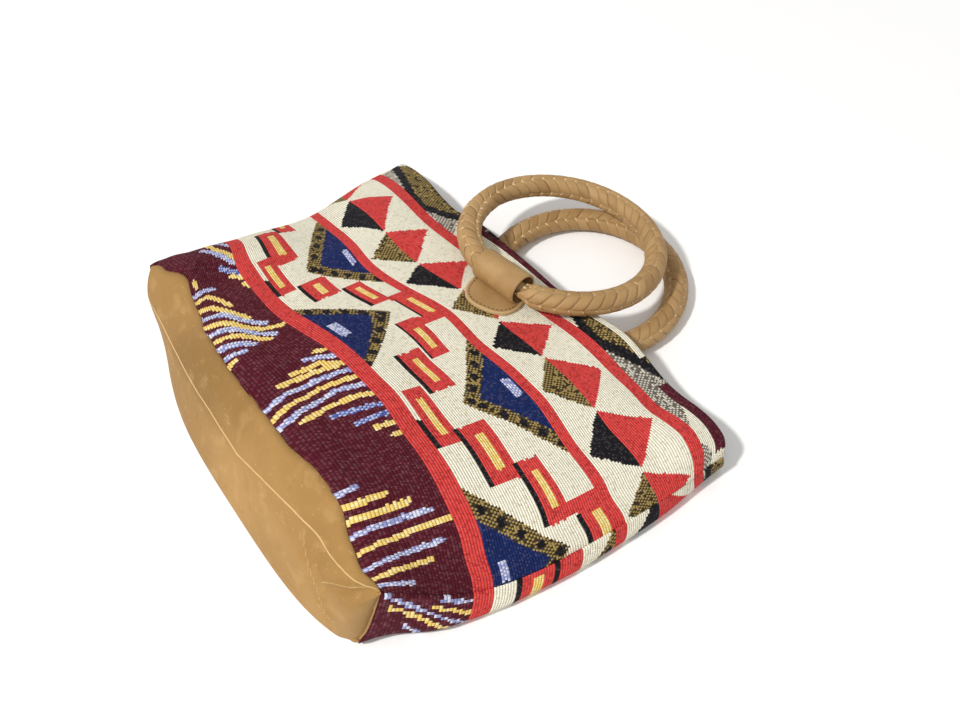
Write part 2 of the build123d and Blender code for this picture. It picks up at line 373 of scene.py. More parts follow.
triangles = (  # outer corners, inner corners, small bar
    (((-0.775, 0.57), (-0.235, 0.57), (-0.45, 0.385)),
     ((-0.675, 0.57), (-0.3, 0.57), (-0.45, 0.445)), (-0.475, -0.385, 0.54, 0.567)),
    (((-0.29, 0.236), (0.108, 0.236), (-0.1, 0.46)),
     ((-0.24, 0.236), (0.068, 0.236), (-0.112, 0.402)), (-0.14, -0.065, 0.252, 0.285)),
    (((0.143, 0.57), (0.69, 0.57), (0.37, 0.39)),
     ((0.225, 0.57), (0.605, 0.57), (0.376, 0.443)), (0.35, 0.43, 0.537, 0.566)),
    (((0.665, 0.236), (1.27, 0.236), (0.968, 0.442)),
     ((0.77, 0.236), (1.165, 0.236), (0.97, 0.388)), (0.918, 0.99, 0.254, 0.282)),
)
dotShares, dotLong, dotSize = (0.12, 0.34, 0.56, 0.78, 1.0), 0.004, 0.0062

blocks = (  # left, right, bottom, top, then how far the dark edge starts from the left
    (-1.1, -0.75, 0.405, 0.474, 0),
    (-0.79, -0.535, 0.305, 0.396, 0),
    (-0.6, -0.385, 0.247, 0.305, 0.11),
    (-0.398, -0.282, 0.33, 0.428, 0),
    (-0.295, -0.152, 0.447, 0.515, 0),
    (-0.16, 0.012, 0.525, 0.59, 0.02),
    (-0.04, 0.158, 0.432, 0.495, 0),
    (0.095, 0.292, 0.335, 0.416, 0),
    (0.245, 0.508, 0.25, 0.316, 0.13),
    (0.455, 0.695, 0.32, 0.406, 0),
    (0.65, 0.876, 0.412, 0.476, 0),
    (0.84, 1.12, 0.506, 0.59, 0.04),
)
blockShadow, blockInsets = 0.013, (0.19, 0.33)
links = (  # red bars between blocks: left, right, bottom, top
    (-0.168, -0.138, 0.505, 0.59), (-0.03, 0.014, 0.432, 0.59), (0.826, 0.876, 0.42, 0.59),
)

combs = (  # stripes across the maroon band: yarn, then points from the free end
    ("yellow", (-0.655, 0.037), (-0.688, 0.03)),
    ("lavender", (-0.593, 0.095), (-0.617, 0.06), (-0.63, 0)),
    ("yellow", (-0.448, 0.1), (-0.51, 0.089), (-0.57, 0.065), (-0.6, 0)),
    ("yellow", (-0.355, 0.12), (-0.425, 0.079), (-0.502, 0.054), (-0.545, 0)),
    ("lavender", (-0.292, 0.146), (-0.358, 0.098), (-0.427, 0.059), (-0.495, 0)),
    ("yellow", (-0.245, 0.175), (-0.265, 0.133), (-0.318, 0.092), (-0.38, 0.054), (-0.43, 0)),
    ("lavender", (-0.22, 0.141), (-0.287, 0.09), (-0.345, 0.051), (-0.38, 0)),
    ("yellow", (-0.208, 0.118), (-0.255, 0.086), (-0.297, 0.054), (-0.34, 0)),
    ("lavender", (-0.215, 0.081), (-0.26, 0.043), (-0.29, 0)),
    ("lavender", (-0.203, 0.048), (-0.225, 0.026), (-0.228, 0)),
    ("yellow", (-0.19, 0.019), (-0.18, 0)),
    ("yellow", (-0.85, 0.187), (-0.93, 0.16), (-1, 0.15)),
    ("lavender", (-0.775, 0.187), (-0.87, 0.15), (-1, 0.09)),
    ("yellow", (-0.69, 0.187), (-0.78, 0.14), (-0.93, 0.12), (-0.985, 0.075)),
    ("lavender", (-0.655, 0.187), (-0.742, 0.14), (-0.828, 0.103)),
    ("blue", (-0.595, 0.187), (-0.675, 0.134)),
    ("yellow", (-0.56, 0.187), (-0.605, 0.16)),
    ("yellow", (-0.502, 0.187), (-0.527, 0.179)),
    ("yellow", (-0.042, 0.176), (-0.05, 0.161)),
    ("lavender", (0.005, 0.182), (-0.037, 0.13)),
    ("yellow", (0.055, 0.187), (0.005, 0.143), (-0.002, 0.088)),
    ("yellow", (0.05, 0.165), (0.028, 0.118), (0.025, 0.049)),
    ("lavender", (0.088, 0.187), (0.068, 0.118), (0.068, 0.052), (0.092, 0)),
    ("yellow", (0.125, 0.187), (0.107, 0.103), (0.123, 0.036), (0.15, 0)),
    ("lavender", (0.17, 0.187), (0.145, 0.125), (0.163, 0.062), (0.196, 0)),
    ("yellow", (0.218, 0.187), (0.2, 0.141), (0.198, 0.085), (0.218, 0.04)),
    ("blue", (0.27, 0.182), (0.255, 0.128), (0.242, 0.084)),
    ("blue", (0.312, 0.184), (0.31, 0.114)),
    ("yellow", (0.355, 0.18), (0.353, 0.141)),
    ("yellow", (0.403, 0.184), (0.403, 0.169)),
    ("lavender", (0.56, 0.035), (0.568, 0)),
    ("yellow", (0.607, 0.079), (0.613, 0.043), (0.615, 0)),
    ("yellow", (0.653, 0.115), (0.655, 0.059), (0.66, 0)),
    ("lavender", (0.7, 0.149), (0.693, 0.095), (0.698, 0.051), (0.708, 0)),
    ("yellow", (0.745, 0.181), (0.742, 0.11), (0.76, 0.045), (0.775, 0)),
    ("lavender", (0.802, 0.146), (0.815, 0.086), (0.845, 0.03), (0.86, 0)),
    ("yellow", (0.863, 0.115), (0.883, 0.062), (0.908, 0.019), (0.915, 0)),
    ("lavender", (0.95, 0.066), (0.958, 0.029), (0.96, 0)),
)
backCombs = (  # the same on the right wall, where the back panel shows
    ("lavender", (-0.755, 0), (-0.739, 0.044), (-0.721, 0.094), (-0.698, 0.142), (-0.672, 0.188)),
    ("yellow", (-0.732, 0.022), (-0.721, 0.054), (-0.702, 0.094), (-0.669, 0.146)),
    ("lavender", (-0.69, 0.06), (-0.66, 0.1)),
    ("lavender", (-0.748, 0.12), (-0.735, 0.187)),
    ("yellow", (-0.733, 0.106), (-0.72, 0.15), (-0.704, 0.187)),
)
combWidth, backCombWidth = 0.0046, 0.0021
wallField = (-0.80, -0.60, 0, maroonTop)  # cleared for the stripes above
wallBlock = ((-0.80, -0.65, 0.392, 0.405), (-0.80, -0.65, 0.405, 0.474))  # black edge, red field

chevrons = (  # left end, left foot, right foot, right end, all across the mouth's band
    (-1, -0.66, -0.54, -0.42),
    (0.2, 0.32, 0.4, 0.585),
)
chevronEnds = ((0.972, 0.990), (0.952, 1.000))
chevronRise, chevronTop, chevronLines = 0.012, 1.1, (0.0075, 0.0050, 0.0085)
hems = (
    ("cream", (0.24, 0.5, 0.968, 1)),
    ("maroon", (-0.36, 0.14, 0.978, 1)),
    ("maroon", (0.62, 0.97, 0.96, 1)),
)
greys = (
    ((-1, 0.905), (-0.66, 0.905), (-1, 0.965)),
    ((-0.54, 0.905), (-0.34, 0.905), (-0.42, 0.985)),
    ((0.4, 0.905), (0.83, 0.905), (0.66, 1), (0.57, 1)),
    ((0.9, 0.905), (1.1, 0.905), (1.1, 0.96), (0.95, 0.94)),
)


def inside(c, q, corners):
    signs = []
    for (ax, ay), (bx, by) in zip(corners, corners[1:] + corners[:1]):
        signs.append((bx - ax) * (q - ay) - (by - ay) * (c - ax))
    signs = np.array(signs)
    return (signs >= 0).all(0) | (signs <= 0).all(0)


def nearLine(c, q, points, width):
    wide, tall = cloth["mouthWidth"] / 2, cloth["length"]
    found = np.zeros(len(c), bool)
    for (ax, ay), (bx, by) in zip(points, points[1:]):
        dx, dy = (bx - ax) * wide, (by - ay) * tall
        px, py = (c - ax) * wide, (q - ay) * tall
        t = np.clip((px * dx + py * dy) / (dx * dx + dy * dy), 0, 1)
        found |= np.hypot(px - t * dx, py - t * dy) < width / 2
    return found


def weavePattern(c, q, mirrored):
    picked = np.zeros(len(c), int)

    def paint(yarn, where):
        picked[where] = yarnNames.index(yarn)

    def box(left, right, low, high):
        return (c > left) & (c < right) & (q > low) & (q < high)

    paint("maroon", q < maroonTop)
    for yarn, *points in combs:
        paint(yarn, nearLine(c, q, points, combWidth))
    if mirrored:
        paint("maroon", box(*wallField))
        for yarn, *points in backCombs:
            paint(yarn, nearLine(c, q, points, backCombWidth))
    for outer, inner, bar in triangles:
        paint("olive", inside(c, q, outer))
        middle = [tuple((np.array(a) + np.array(b)) / 2) for a, b in zip(outer, inner)]
        for a, b in ((middle[0], middle[2]), (middle[2], middle[1])):
            for share in dotShares:
                x, y = mix(a[0], b[0], share), mix(a[1], b[1], share)
                dot = nearLine(c, q, ((x, y), (x + dotLong, y)), dotSize)
                paint("black", dot & inside(c, q, outer))
        paint("navy", inside(c, q, inner))
        paint("lavender", box(*bar))
    for left, right, low, high, dark in blocks:
        paint("black", box(left + dark, right, low - blockShadow, low))
        paint("red", box(left, right, low, high))
        edge, rim = blockInsets[0] * (right - left), blockInsets[1] * (high - low)
        paint("yellow", box(left + edge, right - edge, low + rim, high - rim))
    for link in links:
        paint("red", box(*link))
    if mirrored:
        for yarn, field in zip(("black", "red"), wallBlock):
            paint(yarn, box(*field))
    low, middle, high = diamondRows
    for left, right, up, down, yarn in diamonds:
        paint("red", inside(c, q, ((left, middle), (right, middle), (up, high))))
        paint(yarn, inside(c, q, ((left, middle), (right, middle), (down, low))))
    for corners in greys:
        paint("grey", inside(c, q, corners))
    for (a, b, d, e), (first, last) in zip(chevrons, chevronEnds):
        peak = (mix(b, d, 0.5), chevronTop)
        paint("olive", inside(c, q, ((a, first), (b, mouthBand), (d, mouthBand), (e, last), peak)))
        line = ((a, first), (b, mouthBand + chevronRise), (d, mouthBand + chevronRise), (e, last))
        for ends, width in zip(zip(line, line[1:]), chevronLines):
            paint("black", nearLine(c, q, ends, width))
    for yarn, field in hems:
        paint(yarn, box(*field))
    for low, high in redBands:
        paint("red", (q > low) & (q < high))
    return picked


# Cloth pieces

def newPiece(mesh, finish, body, nodes=()):
    piece = bpy.data.objects.new(mesh.name, mesh)
    bpy.context.scene.collection.objects.link(piece)
    mesh.materials.append(finish.material)
    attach(piece, body)
    if nodes:
        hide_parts(*nodes)
    return piece


def readPoints(mesh):
    points = np.empty(len(mesh.vertices) * 3)
    mesh.vertices.foreach_get("co", points)
    return points.reshape(-1, 3)


def meshFrom(bm, name):
    mesh = bpy.data.meshes.new(name)
    bm.to_mesh(mesh)
    bm.free()
    mesh.polygons.foreach_set("use_smooth", np.ones(len(mesh.polygons), bool))
    return mesh


def gridMesh(name, columns, rows, flipped=False):
    bm = bmesh.new()
    bm.loops.layers.uv.new("UVMap")
    bmesh.ops.create_grid(bm, x_segments=columns, y_segments=rows, size=1, calc_uvs=True)
    if flipped:
        bmesh.ops.reverse_faces(bm, faces=bm.faces[:])
    return meshFrom(bm, name)


def shapeMesh(mesh, points, relief):
    mesh.vertices.foreach_set("co", points.ravel())
    mesh.update()
    normals = np.empty(len(points) * 3)
    mesh.vertices.foreach_get("normal", normals)
    points = points + normals.reshape(-1, 3) * relief[:, None]
    points[:, 2] = np.maximum(points[:, 2], 0)  # the floor stops it
    mesh.vertices.foreach_set("co", points.ravel())


def thicken(piece, name, thickness):
    wall = piece.modifiers.new(name, "SOLIDIFY")
    wall.thickness = thickness
    wall.offset = -1


def lumps(points, size, seed):
    return np.array([noise.noise(Vector(p) / size + Vector((seed, 0, 0))) for p in points])


def clothMesh(name, pointAt, mirrored, reliefAt):
    columns, rows = cloth["columns"], cloth["rows"]
    mesh = gridMesh(name, columns, rows, mirrored)
    flat = readPoints(mesh)
    c, q = flat[:, 0], (flat[:, 1] + 1) / 2
    u, v = weaveLines(c, q, *((backColumns, backPlaces) if mirrored else (weaveColumns, weavePlaces)))
    points = pointAt(u, v)
    shapeMesh(mesh, points, reliefAt(u, v, points))

    # One yarn for each cell of the weave
    corner = np.empty(len(mesh.loops), int)
    mesh.loops.foreach_get("vertex_index", corner)
    cells = corner.reshape(-1, 4)
    cellC, cellQ = c[cells].mean(1), q[cells].mean(1)
    shaken = cellC + rng.normal(0, cloth["shake"], len(cellC))
    picked = weavePattern(backCloth["patternShift"] - shaken if mirrored else shaken, cellQ, mirrored)
    dyes = np.array([[dye(*yarns[n][0]), dye(*yarns[n][1])] for n in yarnNames])
    share = np.array([yarns[n][2] for n in yarnNames])
    column = np.floor((cellC + 1) / 2 * columns).astype(int)
    row = np.floor(cellQ * rows).astype(int)
    fleck = rng.random(len(picked)) < share[picked]
    turns = ((column + row) % 2 == 0) ^ (rng.random(len(picked)) < cloth["turnChance"])
    fleck = np.where(share[picked] < turnsFrom, fleck, turns).astype(int)
    shade = dyes[picked, fleck]
    uneven = cloth["unevenness"]
    shade[:, :3] *= rng.normal(1, uneven, len(picked)).clip(1 - 3 * uneven, 1 + 3 * uneven)[:, None]
    layer = mesh.color_attributes.new("yarn", "FLOAT_COLOR", "CORNER")
    layer.data.foreach_set("color", np.repeat(shade, 4, axis=0).ravel())
    return mesh


clothRelief = {  # a rise, then the size or place and the reach of its form
    "broad": (0.0016, 0.075), "small": (0.0008, 0.03), "pucker": (0.0006, 0.016, 0.0034),
    "puff": (0.0022, 0.012, 0.009), "seamPull": (0.0012, 0.004), "sidePull": (0.0010, 0.004),
    "drift": (4, 0.05), "hem": (0.0005, 0.955, 600), "tabPlace": (0.80, 0.30, 0.20),
    "backPuff": (0.0016, 0.014), "flank": (0.0010, 0.05), "flankFrom": (0.85, 0.95),
}


def frontRelief(u, v, points):
    fromBase = v * cloth["length"]
    fromSide = (1 - np.abs(u)) * halfWidth(v)
    along, wide, tall = clothRelief["tabPlace"]
    calm = 1 - np.exp(-((u / wide) ** 4 + ((v - along) / tall) ** 4))  # flat under the tab
    waves = sum(clothRelief[key][0] * lumps(points, clothRelief[key][1], seed)
                for key, seed in (("broad", 3.0), ("small", 9.0)))
    rise, reach, length = clothRelief["pucker"]
    drift, size = clothRelief["drift"]
    pucker = np.sin(points[:, 0] / length + drift * lumps(points, size, 5.0))
    pucker = rise * np.exp(-fromBase / reach) * pucker
    rise, place, reach = clothRelief["puff"]
    puff = rise * bell(fromBase, place, reach)
    for key, distance in (("seamPull", fromBase), ("sidePull", fromSide)):
        rise, reach = clothRelief[key]
        puff = puff - rise * bell(distance, 0, reach)
    rise, place, steep = clothRelief["hem"]
    return calm * (waves + pucker) + puff + rise / (1 + np.exp(-(v - place) * steep))


def backRelief(u, v, points):
    rise, reach = clothRelief["backPuff"]
    puff = rise * bell(v * cloth["length"], 0, reach)
    rise, size = clothRelief["flank"]
    flank = ramp(np.abs(u), *clothRelief["flankFrom"])  # flat where it lies on the floor
    return flank * (rise * lumps(points, size, 13.0) + puff)


def tapestryFinish():
    finish = Finish("tapestry", {"Specular IOR Level": 0.12})
    beads = finish.uv("X") * cloth["columns"]
    ribs = finish.uv("Y") * cloth["rows"]
    row = ribs.math("FLOOR")
    rib = ((ribs - row) * math.pi).math("SINE")
    stagger = beads + 0.5 * row
    column = stagger.math("FLOOR")
    bead = ((stagger - column) * math.pi).math("SINE")
    height = (rib ** 0.6) * (0.60 + 0.40 * bead)
    cell = finish.add("CombineXYZ", {}, {0: column, 1: row})
    chance = finish.add("TexWhiteNoise", {"noise_dimensions": "2D"}, {"Vector": cell})
    yarn = finish.attribute("yarn", "Color")
    where = finish.place()
    fuzz = finish.grain(where, 1500.0, 2.0)
    drift = finish.grain(where, 12.0, 3.0)
    # painted shade: the yarn is darkened in the gaps between ribs and beads, following the weave's height
    shaded = finish.colour(1.0, yarn, 0.56 + 0.50 * height, "MULTIPLY")
    # painted highlight: a pale glint on the middle of some beads
    glint = chance.above(0.72) * bead * rib
    shaded = finish.colour(0.055 * glint, shaded, dye(246, 220, 216))
    finish.feed("Base Color", finish.colour(0.10, shaded, 0.62 + 0.76 * drift, "MULTIPLY"))
    finish.feed("Roughness", 0.82 + 0.14 * fuzz)
    finish.feed("Normal", finish.relief(height + 0.3 * fuzz, 0.0008, 0.9))
    return finish


tapestry = tapestryFinish()
panelMesh = clothMesh("frontTapestry", frontPoint, False, frontRelief)
frontPanel = newPiece(panelMesh, tapestry, "bag", ["front_panel"])
panelMesh = clothMesh("backTapestry", backPoint, True, backRelief)
backPanel = newPiece(panelMesh, tapestry, "bag", ["back_panel"])
for panel in (frontPanel, backPanel):
    thicken(panel, "wall", cloth["thick"])
print("cloth panels done")


# Leather base

base = {
    "ridgeHeight": 0.050, "ridgeReach": 0.023, "floorReach": 0.041, "floorTapers": (0.028, 0.024),
    "puff": 0.002, "thick": 0.002, "under": 0.0024, "underFrom": (0.86, 0.92),
    "ridgePower": 30, "reachPower": 40, "risePower": 50, "taperPowers": (3, 5),
    "columns": 220, "rows": 42, "closer": 1.25,
    "broad": (0.0016, 0.055), "small": (0.0006, 0.02), "softTo": 0.62, "calmEnds": 0.12,
    "ridge": (0.0010, 0.018), "fold": 0.0030, "foldWidths": (0.022, 0.020),
    "hollow": 0.0022, "hollowAt": 0.05, "hollowWidth": 0.03, "foldFades": (0.06, 0.03),
}


def baseRows(u):
    front, back = frontPoint(u, 0 * u), backPoint(u, 0 * u)
    under = base["under"] * ramp(u, *base["underFrom"])  # goes in behind the wall's cloth
    back[:, 0] -= under
    turn, x = tipY + skew(u, 0), front[:, 0]
    tip, end, rise = [np.abs(u) ** base[key] for key in ("ridgePower", "reachPower", "risePower")]
    ridgeHeight = mix(base["ridgeHeight"], tipHeight(u), tip)
    ridge = np.stack([x, turn - base["ridgeReach"] * (1 - tip), ridgeHeight], -1)
    taper, far = across(base["floorTapers"], u), base["floorReach"]
    reach = taper * np.abs(u) ** across(base["taperPowers"], u) + (far - taper) * end - far
    edge = np.stack([x - under, turn + reach, tipHeight(u) * rise], -1)
    puff = np.stack([0 * u, -(1 - tip), 1 - tip], -1) * base["puff"]
    upper = (front + ridge) / 2 + puff
    lower = (ridge + edge) / 2 + puff * (0, 1, 0)
    return [front, upper, ridge, lower, edge, (edge + back) / 2, back]


# Fold lines of the leather: place across, share of the section
ridgeLine = ((-1, 0.33), (0.085, 0.33), (0.315, 0.26), (0.535, 0.22), (0.69, 0.18),
             (0.80, 0.145), (0.945, 0.075), (1, 0.03))
sideFold = ((0.585, 0.235), (0.62, 0.275), (0.695, 0.33), (0.77, 0.39), (0.875, 0.525))
tipFold = ((0.775, 0.355), (0.86, 0.215), (0.925, 0.12), (0.965, 0.055))


def foldOffset(u, t, line):
    places, shares = zip(*line)
    beyond = (u < places[0]) | (u > places[-1])
    return np.where(beyond, 0.5, t - np.interp(u, places, shares))


def foldMark(u, t, line, width):
    places, shares = zip(*line)
    first, last = base["foldFades"]
    ends = np.clip((u - places[0]) / first, 0, 1) * np.clip((places[-1] - u) / last, 0, 1)
    return ends * bell(t, np.interp(u, places, shares), width)


def alongRows(rows, t):  # a smooth line through the rows
    count = len(rows) - 1
    k = np.clip((t * count).astype(int), 0, count - 1)
    s = (t * count - k)[:, None]
    a, b, c, d = [np.stack(rows)[np.clip(k + n, 0, count), np.arange(len(t))] for n in (-1, 0, 1, 2)]
    square, cube = 2 * a - 5 * b + 4 * c - d, 3 * b - a - 3 * c + d
    return 0.5 * (2 * b + (c - a) * s + square * s ** 2 + cube * s ** 3)


def baseMesh():
    mesh = gridMesh("leatherBase", base["columns"], base["rows"])
    flat = readPoints(mesh)
    u, t = flat[:, 0], (1 - flat[:, 1]) / 2
    u = np.sign(u) * (1 - (1 - np.abs(u)) ** base["closer"])  # closer columns at the tips
    points = alongRows(baseRows(u), t)
    upper = np.clip(1 - t / base["softTo"], 0, 1) ** 0.5
    inner = np.clip((1 - np.abs(u)) / base["calmEnds"], 0, 1)
    soft = sum(base[key][0] * lumps(points, base[key][1], seed)
               for key, seed in (("broad", 21.0), ("small", 23.0)))
    rise, width = base["ridge"]
    relief = upper * inner * (soft + rise * foldMark(u, t, ridgeLine, width))
    for line, width in zip((sideFold, tipFold), base["foldWidths"]):
        relief = relief + base["fold"] * foldMark(u, t, line, width)
        relief = relief - base["hollow"] * foldMark(u, t - base["hollowAt"], line, base["hollowWidth"])
    for key, line in (("ridge", ridgeLine), ("sideFold", sideFold), ("tipFold", tipFold)):
        mesh.attributes.new(key, "FLOAT", "POINT").data.foreach_set("value", foldOffset(u, t, line))
    shapeMesh(mesh, points, relief)
    return mesh


def nubuckFinish():
    finish = Finish("nubuck", {"Roughness": 0.85, "Sheen Weight": 0.05, "Sheen Roughness": 0.5,
                               "Specular IOR Level": 0.2})
    where = finish.place()
    cloud = finish.grain(where, 9.0, 4.0)
    spot = finish.grain(where, 65.0, 4.0)
    nap = finish.grain(where, 900.0, 3.0)
    section = 1 - finish.uv("Y")
    shade = finish.colour(cloud.above(0.50, 0.16), dye(139, 105, 56), dye(166, 128, 75))
    # painted light: the lower face, below the ridge, is made lighter
    shade = finish.colour(0.40 * section.above(0.36, 0.06), shade, dye(180, 141, 87))
    # painted shade: darker along the seam, under the cloth's overhanging edge
    shade = finish.colour(0.42 * section.below(0.035, 0.035), shade, dye(104, 74, 36))
    # painted shade: the left part of the base is made darker
    shade = finish.colour(0.26 * finish.part(where, "X").below(-0.06, 0.09), shade, dye(112, 82, 42))
    shade = finish.colour(0.22 * spot.above(0.62, 0.08), shade, dye(198, 160, 106))
    shade = finish.colour(0.22 * spot.below(0.34, 0.06), shade, dye(140, 103, 56))
    # pale lines along the ridge and folds: partly worn creases, partly painted highlight
    for key, pale in (("ridge", 0.75), ("sideFold", 0.40), ("tipFold", 0.40)):
        line = finish.attribute(key).math("ABSOLUTE").below(0.0035, 0.0030)
        shade = finish.colour(pale * line, shade, dye(226, 194, 140))
    scratch = finish.add("Mapping", {}, {"Vector": where, "Scale": (30.0, 190.0, 60.0)})
    scuff = finish.grain(scratch, 6.0, 2.0).above(0.70, 0.03)
    shade = finish.colour(0.40 * scuff, shade, dye(208, 174, 124))
    finish.feed("Base Color", finish.colour(0.10 * nap, shade, dye(120, 84, 44), "MULTIPLY"))
    finish.feed("Roughness", 0.78 + 0.16 * cloud)
    finish.feed("Normal", finish.relief(nap + 2.5 * spot, 0.0004, 0.35))
    return finish


nubuck = nubuckFinish()
leatherBase = newPiece(baseMesh(), nubuck, "bag", ["leather_base"])
thicken(leatherBase, "wall", base["thick"])
print("leather base done")


# Braided rings

ring = {
    "radius": 0.0805, "braid": 0.0099, "strip": 0.0011, "pitch": 0.0103, "core": 0.0052,
    "tabWidth": 0.044, "tabGap": 0.001, "knot": 0.004, "tuck": 0.10, "wide": 1.04, "columns": 4,
    "slant": 0.95, "wander": 0.03, "lift": 0.0010, "endsDip": 1.5, "bow": 0.00018, "tilt": 0.00014,
    "lateFrom": 1.2, "lateReach": 0.6, "openEnd": (0.62, 0.12, 0.15), "closedEnd": (0.84, 0.10, 0.30),
    "leaves": 9, "leafFrom": 0.07, "leafReach": (0.08, 0.14), "leafRadii": (0.0092, 0.0058),
    "leafHalves": (0.42, 0.26), "leafWave": 0.0006, "leafBow": 0.0004, "leafWander": 0.1, "leafLean": 0.2,
    "coreIn": 0.0018, "coreOpening": 0.11, "coreOver": 0.016,
}
braidStart = math.asin((ring["tabWidth"] / 2 + ring["tabGap"] + ring["knot"] / 2) / ring["radius"])
braidFirst = braidStart + ring["knot"] / ring["radius"]
tabAxisDistance = ring["radius"] * math.cos(braidFirst)


def hingeOf(joint):
    hinge = next(j for j in frame["joints"] if j["name"] == joint)
    return Vector(hinge["pos_m"]), Vector(hinge["axis"]).normalized()


def axesAt(place, xDir, yDir, zDir):
    return Matrix.Translation(place) @ Matrix((xDir, yDir, zDir)).transposed().to_4x4()


def ringFrame(node, joint):
    origin, xDir = hingeOf(joint)
    middle = Vector(readPoints(frame["nodes"][node].data).mean(0)) - origin
    yDir = (middle - xDir * middle.dot(xDir)).normalized()
    return axesAt(origin + yDir * tabAxisDistance, xDir, yDir, xDir.cross(yDir))


def onRing(angle, side, radius):
    out = ring["radius"] + radius * math.cos(side)
    return Vector((out * math.sin(angle), -out * math.cos(angle), radius * math.sin(side)))


def gathered(distance, end):  # the braid narrows towards the tab
    least, reach, start = ring[end]
    return mix(least, 1, ease(unit(distance / reach + start)))


def braidMesh(name, at, turn, twist, late):
    bm = bmesh.new()
    rim, gapShade, tone = [bm.verts.layers.float.new(key) for key in ("rim", "gapShade", "tone")]
    last = 2 * math.pi - braidFirst
    count = round((last - braidFirst) * ring["radius"] / ring["pitch"])
    pitch = (last - braidFirst) / count
    for column in range(ring["columns"]):
        for strip in range(-1, count + 2):
            shade = rng.random()
            wander = rng.normal(0, ring["wander"])
            made = bmesh.ops.create_grid(bm, x_segments=7, y_segments=4, size=1)["verts"]
            for vert in made:
                a, b = (vert.co.x + 1) / 2, vert.co.y
                t = a * (1 + 2 * ring["tuck"]) - ring["tuck"]
                slant = t if column % 2 == 0 else 1 - t
                along = strip + 0.5 + slant * ring["slant"] + wander + ring["wide"] * b / 2
                angle = braidFirst + pitch * along
                turned = ease(unit((angle / math.pi - ring["lateFrom"]) / ring["lateReach"]))
                around = turn + twist * (angle - math.pi) / math.pi + late * turned
                side = around + (column + t) * math.pi / 2
                close = gathered(angle - braidStart, "openEnd")
                close *= gathered(2 * math.pi - braidStart - angle, "closedEnd")
                lift = -ring["lift"] * ring["endsDip"] * abs(2 * a - 1) ** 3
                lift += ring["tilt"] * b - ring["bow"] * abs(b) ** 3
                vert.co = onRing(angle, side, (ring["braid"] + lift) * close)
                vert[rim] = abs(b) ** 6 * min(1, max(0.1, 2.6 * abs(a - 0.5) - 0.2))
                # painted shade along one edge of each strip, in the gap between strips
                vert[gapShade] = max(0, -b) ** 8
                vert[tone] = shade
    for leaf in range(ring["leaves"]):  # gathered strip ends in the open side of the tab
        shade, reach = rng.random(), rng.uniform(*ring["leafReach"])
        start = leaf * 2 * math.pi / ring["leaves"] + rng.normal(0, ring["leafWander"])
        made = bmesh.ops.create_grid(bm, x_segments=5, y_segments=3, size=1)["verts"]
        for vert in made:
            a, b = (vert.co.x + 1) / 2, vert.co.y
            angle = braidFirst + ring["leafFrom"] - a * reach
            radius = mix(*ring["leafRadii"], a) + ring["leafWave"] * math.sin(5 * a + leaf)
            side = start + b * mix(*ring["leafHalves"], a) + ring["leafLean"] * a * math.sin(leaf)
            vert.co = onRing(angle, side, radius - ring["leafBow"] * b * b)
            vert[rim], vert[gapShade], vert[tone] = a ** 4, max(0, -b) ** 8, shade
    bmesh.ops.recalc_face_normals(bm, faces=bm.faces[:])
    bmesh.ops.transform(bm, matrix=at, verts=bm.verts[:])
    return meshFrom(bm, name)


def coreMesh(name, at):
    bm = bmesh.new()
    upright = Matrix.Rotation(math.pi / 2, 4, "Y")
    circle = bmesh.ops.create_circle(bm, segments=20, radius=ring["braid"] - ring["coreIn"])["verts"]
    opening = braidStart + ring["coreOpening"]
    stand = Matrix.Rotation(opening, 4, "Z") @ Matrix.Translation((0, -ring["radius"], 0))
    bmesh.ops.transform(bm, matrix=stand @ upright, verts=circle)
    sweep = 2 * math.pi - braidStart - opening
    bmesh.ops.spin(bm, geom=bm.verts[:] + bm.edges[:], cent=(0, 0, 0), axis=(0, 0, 1),
                   angle=sweep, steps=110)
    bmesh.ops.holes_fill(bm, edges=[e for e in bm.edges if e.is_boundary])
    bar = bmesh.ops.create_cone(bm, cap_ends=True, segments=20, radius1=ring["core"], radius2=ring["core"],
                                depth=ring["tabWidth"] + ring["coreOver"])["verts"]
    lay = Matrix.Translation((0, -tabAxisDistance, 0)) @ upright
    bmesh.ops.transform(bm, matrix=lay, verts=bar)
    bmesh.ops.recalc_face_normals(bm, faces=bm.faces[:])
    bmesh.ops.transform(bm, matrix=at, verts=bm.verts[:])
    return meshFrom(bm, name)


def strapFinish(name, edged):
    finish = Finish(name, {"Roughness": 0.6, "Specular IOR Level": 0.35})
    where = finish.place()
    cloud = finish.grain(where, 40.0, 4.0)
    grain = finish.grain(where, 700.0, 4.0)
    pores = finish.add("TexVoronoi", {}, {"Vector": where, "Scale": 1100.0})
    shade = finish.colour(cloud.above(0.5, 0.2), dye(160, 124, 76), dye(178, 143, 94))
    if edged:
        tone = finish.attribute("tone")
        rim = finish.attribute("rim")
        shade = finish.colour(0.40 * tone, shade, dye(192, 156, 106))
        shade = finish.colour(0.25 * (1 - tone) ** 3, shade, dye(136, 100, 58))
        # painted shade: a dark line in the gaps between the braid's strips
        shade = finish.colour(0.22 * finish.attribute("gapShade").above(0.72, 0.14), shade, dye(100, 72, 40))
        shade = finish.colour(0.85 * rim.above(0.58, 0.12), shade, dye(240, 214, 168))
    else:
        shade = finish.colour(0.55 * finish.attribute("pale"), shade, dye(214, 184, 136))
    shade = finish.colour(0.25 * grain, shade, dye(140, 104, 62), "MULTIPLY")
    finish.feed("Base Color", shade)
    finish.feed("Roughness", 0.50 + 0.22 * cloud)
    finish.feed("Normal", finish.relief(grain + 0.5 * pores, 0.00025, 0.35))
    return finish


